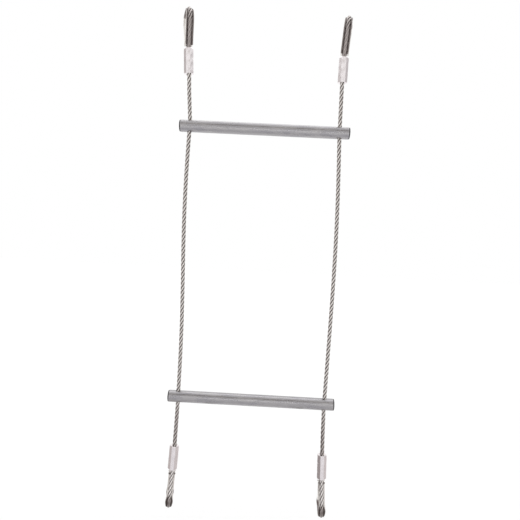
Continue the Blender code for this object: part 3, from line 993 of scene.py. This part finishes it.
def makePlug(level, side):
    # a profile (distance along, radius) turned about the rung's axis: the stem, the rim with
    # its rounded edge, a quarter ellipse for the dome, and the flat land
    stem = ropeRoute["rungRadius"] - rungForm["wall"] - plugForm["gap"]
    rim = plugForm["rimDiameter"] / 2
    land = plugForm["land"] / 2
    soft = plugForm["rimRound"]
    knee = soft * plugForm["kneeShare"]
    dome = np.radians(np.linspace(0, 90, 13))
    profile = np.vstack([
        (-plugForm["stem"], 0.0),
        (-plugForm["stem"], stem - soft),
        (-plugForm["stem"] + soft, stem),
        (0.0, stem),
        (0.0, rim - soft),
        (knee, rim - knee),
        (soft, rim),
        np.column_stack([
            plugForm["edge"] + (plugForm["crown"] - plugForm["edge"]) * np.sin(dome),
            land + (rim - land) * np.cos(dome),
        ]),
        (plugForm["crown"], 0.0),
    ])
    sign = sideSign[side]
    spoke = rungSpokes(2 * math.pi * np.arange(plugForm["pointsRound"]) / plugForm["pointsRound"])
    seat = np.array((sign * (rungForm["length"] / 2 + plugForm["gap"]), 0.0, rungHeight[level]))
    body = profile[1:-1]
    points = seat + body[:, :1, None] * np.array((sign, 0, 0)) + body[:, 1:, None] * spoke
    rows, columns = points.shape[:2]
    ends = seat + np.outer(profile[[0, -1], 0], (sign, 0, 0))
    points = np.vstack([points.reshape(-1, 3), ends])
    faces = [block[:, ::-sign] for block in (gridQuads(rows, columns), endFans(rows, columns))]
    name = f"{rungOf[level]}_{side}"
    piece = makePiece(f"{name}_moulded_plug", points, faces, materials["plug"])
    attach(piece, f"{rungOf[level]}_rung")
    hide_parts(f"{name}_end_plug")


for level in levelSign:
    makeRung(level)
    for side in sideSign:
        makePlug(level, side)
        wedge = frame["nodes"][f"{rungOf[level]}_{side}_wire_wedge"]
        wedge.data.materials.clear()
        wedge.data.materials.append(materials["wedge"])
print("rungs, plugs and wedges dressed")


# The floor, the white surround and the studio light
studio = {
    "floorDrop": 0.03,  # below the lowest eye
    "floorReach": 4.0,
    "floorPoints": 9,  # a side
    "cardPoints": 3,
    "floorColour": "#e6e6e6",
    "floorGlow": (0.36, 0.46),  # under the ladder, and far from it
    "glowReach": (0.5, 1.5),  # from the origin
    "ambient": 0.75,
    # a mirror image closer to a card than this fades out, so that the card's edge leaves no
    # line on a piece that swings through it
    "cardFade": (0.003, 0.013),
}
lamps = [
    # name, place, width, depth, watts
    ("top", (0.0, 0.28, 0.55), 1.0, 0.35, 1.0),
    ("camera", (0.0, -0.8, -0.27), 0.4, 0.08, 0.17),
]
cards = [
    # name, two opposite corners, colour: glowing sheets out of the picture, seen in mirror
    # images alone, which paint darker reflections on the bright metal. The four small ones
    # beside the lower ferrules paint darker reflections on single faces in place of shade, and
    # the shadow card, the darkest, is a painted shadow
    ("table_card", (-0.5, -0.42, -0.52), (0.5, -0.03, -0.52), "#e6e5e7"),
    # painted shadow: a dark glowing sheet beside the lower right ferrule, seen only in its
    # reflection
    ("shadow_card", (0.055, -0.03, -0.50), (0.055, 0.03, -0.42), "#9a9493"),
    ("left_ferrule_card", (-0.096, -0.03, -0.52), (-0.096, 0.03, -0.43), "#c0bab8"),
    ("middle_ferrule_card", (-0.050, -0.03, -0.50), (-0.050, 0.03, -0.42), "#cbc6c5"),
    ("right_ferrule_card", (0.100, -0.03, -0.52), (0.100, 0.03, -0.43), "#d0cbca"),
    ("front_card", (-0.5, -0.95, -0.50), (0.4, -0.95, 0.12), "#e6e5e4"),
    ("overhead_card", (-0.6, -1.00, 0.42), (0.6, -0.42, 0.42), "#bdb8b3"),
    ("left_card", (-0.8, -0.20, -0.52), (-0.8, 0.62, 0.35), "#bfbab8"),
    ("right_card", (0.8, -0.35, -0.52), (0.8, 0.62, 0.35), "#c4c1c1"),
]


def seenDirectly(tree):
    # 1 for what the camera, a mirror image or a look through glass meets, 0 for light rays
    share = 0.0
    for kind in ("Camera", "Glossy", "Transmission"):
        ray = addNode(tree, "LightPath", output=f"Is {kind} Ray")
        share = addNode(tree, "Math", {0: share, 1: ray}, {"operation": "MAXIMUM"})
    return share


def makeWorld():
    # plain white where it is seen, a soft even light on the object
    world = bpy.data.worlds.new("white_studio")
    bpy.context.scene.world = world
    tree = emptyTree(world)
    light = addNode(tree, "Background", {"Color": "#ffffff", "Strength": studio["ambient"]})
    plain = addNode(tree, "Background", {"Color": "#ffffff", "Strength": 1.0})
    both = addNode(tree, "MixShader", {0: seenDirectly(tree), 1: light, 2: plain})
    addNode(tree, "OutputWorld", {"Surface": both})


def paintedBoard():
    # Matt white painted board: it takes the object's shadow, and what is seen of it glows
    # just enough to reach the white of the surround, more where less light falls on it
    material = bpy.data.materials.new("matt_white_board")
    tree = emptyTree(material)
    paint = addNode(tree, "BsdfDiffuse", {"Color": studio["floorColour"]})
    place = addNode(tree, "TexCoord", output="Object")
    away = addNode(tree, "VectorMath", {0: place}, {"operation": "LENGTH"}, "Value")
    strength = addNode(tree, "MapRange", spread(away, *studio["floorGlow"], *studio["glowReach"]))
    glow = addNode(tree, "Emission", {"Strength": strength})
    dark = addNode(tree, "Emission", {"Strength": 0.0})
    seen = addNode(tree, "MixShader", {0: seenDirectly(tree), 1: dark, 2: glow})
    both = addNode(tree, "AddShader", {0: paint, 1: seen})
    addNode(tree, "OutputMaterial", {"Surface": both})
    return material


def makeSheet(name, low, high, count, material):
    # a flat grid between two opposite corners, along the first and the last axis that differ
    low, high = np.array(low), np.array(high)
    share = np.linspace(0, 1, count)
    across, up = np.meshgrid(share, share, indexing="ij")
    axes = np.flatnonzero(low != high)
    first, second = ((high - low) * np.eye(3)[axis] for axis in (axes[0], axes[-1]))
    points = low + across[..., None] * first + up[..., None] * second
    sheet = makePiece(name, points, [gridQuads(count, count, closeColumns=False)], material)
    return sheet


def makeFloor():
    # wide enough to run past every view
    reach, height = studio["floorReach"], cadBox[0].z - studio["floorDrop"]
    low, high = (-reach, -reach, height), (reach, reach, height)
    makeSheet("floor", low, high, studio["floorPoints"], paintedBoard())


def makeCard(name, low, high, colour):
    # a glowing sheet, seen in mirror images alone: a painted reflection
    material = bpy.data.materials.new(f"{name}_paper")
    tree = emptyTree(material)
    mirror_glow = addNode(tree, "Emission", {"Color": colour})
    distance = addNode(tree, "LightPath", output="Ray Length")
    share = addNode(tree, "MapRange", spread(distance, 0, 1, *studio["cardFade"]))
    clear = addNode(tree, "BsdfTransparent")
    both = addNode(tree, "MixShader", {0: share, 1: clear, 2: mirror_glow})
    addNode(tree, "OutputMaterial", {"Surface": both})
    card = makeSheet(name, low, high, studio["cardPoints"], material)
    card.visible_camera = card.visible_shadow = card.visible_diffuse = False


def makeLamps():
    # soft area lamps, each aimed at the ladder's middle
    middle = halfway(*cadBox)
    for name, place, width, depth, watts in lamps:
        data = bpy.data.lights.new(f"{name}_softbox", "AREA")
        data.shape = "RECTANGLE"
        data.size = width
        data.size_y = depth
        data.energy = watts
        lamp = bpy.data.objects.new(f"{name}_softbox", data)
        bpy.context.scene.collection.objects.link(lamp)
        lamp.location = place
        back = unitRows(np.array(place) - middle)
        right = unitRows(np.cross((0, 0, 1), back))
        up = np.cross(back, right)
        lamp.rotation_euler = Matrix(np.column_stack([right, up, back]).tolist()).to_euler()
        lamp.visible_camera = False


for card in cards:
    makeCard(*card)
makeWorld()
makeFloor()
makeLamps()
bpy.context.scene.view_settings.view_transform = "Standard"
print("studio lit")
